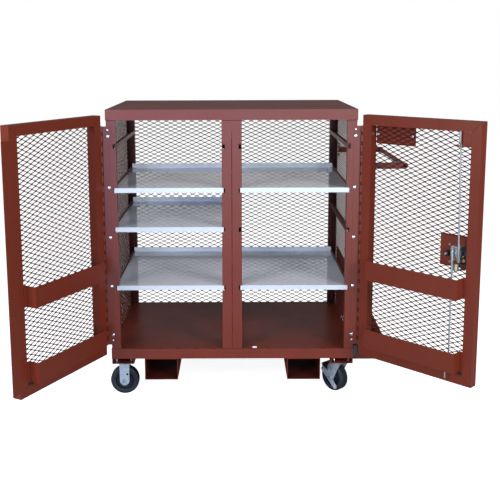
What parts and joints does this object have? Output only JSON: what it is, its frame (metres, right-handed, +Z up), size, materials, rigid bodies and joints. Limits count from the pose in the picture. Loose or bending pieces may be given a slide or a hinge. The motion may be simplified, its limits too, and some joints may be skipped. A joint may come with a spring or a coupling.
{
  "type": "rolling storage cabinet",
  "caption": "Wheeled steel cabinet with expanded-metal walls, two swinging doors with bins, pull-out shelves, a rod lock, fork pockets and a side push handle.",
  "frame": {"origin": "on the floor, centred under the whole object with its doors open as stored", "axes": "+Z up, +X to the right seen from the front, +Y to the back; the open side faces -Y"},
  "size_m": [2.1524, 1.4672, 1.528],
  "materials": {
    "brown_paint": "satin red-brown enamel",
    "shelf_finish": "glossy light grey enamel",
    "zinc_plate": "bright zinc plate",
    "wheel_rubber": "hard dark rubber",
    "bumper_rubber": "matte",
    "pedal_black": "black enamel"
  },
  "bodies": {
    "cabinet": {"back_mesh": "brown_paint", "base_pan": "brown_paint", "centre_divider": "brown_paint", "fork_pocket_left": "brown_paint", "fork_pocket_right": "brown_paint", "hinge_left": "brown_paint", "hinge_right": "brown_paint", "post_front_left": "brown_paint", "post_front_right": "brown_paint", "post_rear_left": "brown_paint", "post_rear_right": "brown_paint", "push_handle": "brown_paint", "rigid_fork_front": "zinc_plate", "rigid_fork_rear": "zinc_plate", "rubber_bumper": "bumper_rubber", "shelf_rail_left_1": "brown_paint", "shelf_rail_left_2": "brown_paint", "shelf_rail_left_3": "brown_paint", "shelf_rail_left_4": "brown_paint", "shelf_rail_right_1": "brown_paint", "shelf_rail_right_2": "brown_paint", "shelf_rail_right_3": "brown_paint", "shelf_rail_right_4": "brown_paint", "side_mesh_left": "brown_paint", "side_mesh_right": "brown_paint", "swivel_plate_front": "zinc_plate", "swivel_plate_rear": "zinc_plate", "top_panel": "brown_paint", "wing_gusset_front": "brown_paint", "wing_gusset_rear": "brown_paint"},
    "right_door": {"blank_plate": "brown_paint", "door_bin_right_lower": "brown_paint", "door_bin_right_upper": "brown_paint", "door_frame_right": "brown_paint", "door_mesh_right": "brown_paint", "lock_case": "zinc_plate", "lock_plate": "brown_paint", "rod_guide": "brown_paint"},
    "pedal_front": {"brake_pedal_front": "pedal_black"},
    "pedal_rear": {"brake_pedal_rear": "pedal_black"},
    "wheel_left_front": {"caster_wheel_left_front": "wheel_rubber"},
    "wheel_left_rear": {"caster_wheel_left_rear": "wheel_rubber"},
    "wheel_right_front": {"caster_wheel_right_front": "wheel_rubber"},
    "wheel_right_rear": {"caster_wheel_right_rear": "wheel_rubber"},
    "left_door": {"door_bin_left_lower": "brown_paint", "door_bin_left_upper": "brown_paint", "door_frame_left": "brown_paint", "door_mesh_left": "brown_paint", "overlap_strip": "brown_paint"},
    "latch": {"latch_lever": "zinc_plate"},
    "rod_lower": {"lock_rod_lower": "zinc_plate"},
    "rod_upper": {"lock_rod_upper": "zinc_plate"},
    "shelf_left_2": {"shelf_left_2": "shelf_finish"},
    "shelf_left_3": {"shelf_left_3": "shelf_finish"},
    "shelf_left_4": {"shelf_left_4": "shelf_finish"},
    "shelf_right_2": {"shelf_right_2": "shelf_finish"},
    "shelf_right_4": {"shelf_right_4": "shelf_finish"},
    "swivel_front": {"swivel_fork_front": "zinc_plate"},
    "swivel_rear": {"swivel_fork_rear": "zinc_plate"}
  },
  "joints": [
    {"name": "left_door_hinge", "type": "hinge", "parent": "cabinet", "child": "left_door", "pos_m": [-0.73013, -0.11182, 0.87], "axis": [0, 0, -1], "range_deg": [-118.08, 81.9]},
    {"name": "right_door_hinge", "type": "hinge", "parent": "cabinet", "child": "right_door", "pos_m": [0.57967, -0.11182, 0.87], "axis": [0, 0, 1], "range_deg": [-135.55, 44.4]},
    {"name": "latch_turn", "type": "hinge", "parent": "right_door", "child": "latch", "pos_m": [0.9673, -0.49207, 0.884], "axis": [-0.7003, -0.7139, 0], "range_deg": [0, 90]},
    {"name": "rod_upper_slide", "type": "slide", "parent": "right_door", "child": "rod_upper", "axis": [0, 0, 1], "range_m": [0, 0.024]},
    {"name": "rod_lower_slide", "type": "slide", "parent": "right_door", "child": "rod_lower", "axis": [0, 0, -1], "range_m": [0, 0.024]},
    {"name": "wheel_left_front_spin", "type": "hinge", "parent": "cabinet", "child": "wheel_left_front", "pos_m": [-0.65323, -0.01932, 0.0762], "axis": [0, 1, 0], "continuous": true},
    {"name": "swivel_front_turn", "type": "hinge", "parent": "cabinet", "child": "swivel_front", "pos_m": [0.50277, -0.01932, 0.17], "axis": [0, 0, 1], "continuous": true},
    {"name": "wheel_right_front_spin", "type": "hinge", "parent": "swivel_front", "child": "wheel_right_front", "pos_m": [0.4785, 0.00992, 0.0762], "axis": [-0.7694, -0.6388, 0], "continuous": true},
    {"name": "pedal_front_press", "type": "hinge", "parent": "swivel_front", "child": "pedal_front", "pos_m": [0.48361, 0.00376, 0.1675], "axis": [-0.7694, -0.6388, 0], "range_deg": [0, 5]},
    {"name": "wheel_left_rear_spin", "type": "hinge", "parent": "cabinet", "child": "wheel_left_rear", "pos_m": [-0.65323, 0.62768, 0.0762], "axis": [0, 1, 0], "continuous": true},
    {"name": "swivel_rear_turn", "type": "hinge", "parent": "cabinet", "child": "swivel_rear", "pos_m": [0.50277, 0.62768, 0.17], "axis": [0, 0, 1], "continuous": true},
    {"name": "wheel_right_rear_spin", "type": "hinge", "parent": "swivel_rear", "child": "wheel_right_rear", "pos_m": [0.4785, 0.65692, 0.0762], "axis": [-0.7694, -0.6388, 0], "continuous": true},
    {"name": "pedal_rear_press", "type": "hinge", "parent": "swivel_rear", "child": "pedal_rear", "pos_m": [0.48361, 0.65076, 0.1675], "axis": [-0.7694, -0.6388, 0], "range_deg": [0, 5]},
    {"name": "shelf_left_2_pull", "type": "slide", "parent": "cabinet", "child": "shelf_left_2", "axis": [0, -1, 0], "range_m": [0, 0.35]},
    {"name": "shelf_left_3_pull", "type": "slide", "parent": "cabinet", "child": "shelf_left_3", "axis": [0, -1, 0], "range_m": [0, 0.35]},
    {"name": "shelf_left_4_pull", "type": "slide", "parent": "cabinet", "child": "shelf_left_4", "axis": [0, -1, 0], "range_m": [0, 0.35]},
    {"name": "shelf_right_2_pull", "type": "slide", "parent": "cabinet", "child": "shelf_right_2", "axis": [0, -1, 0], "range_m": [0, 0.35]},
    {"name": "shelf_right_4_pull", "type": "slide", "parent": "cabinet", "child": "shelf_right_4", "axis": [0, -1, 0], "range_m": [0, 0.35]}
  ],
  "couplings": [
    {"joint": "rod_upper_slide", "follows": "latch_turn", "m_per_rad": 0.0152},
    {"joint": "rod_lower_slide", "follows": "latch_turn", "m_per_rad": 0.0152}
  ]
}
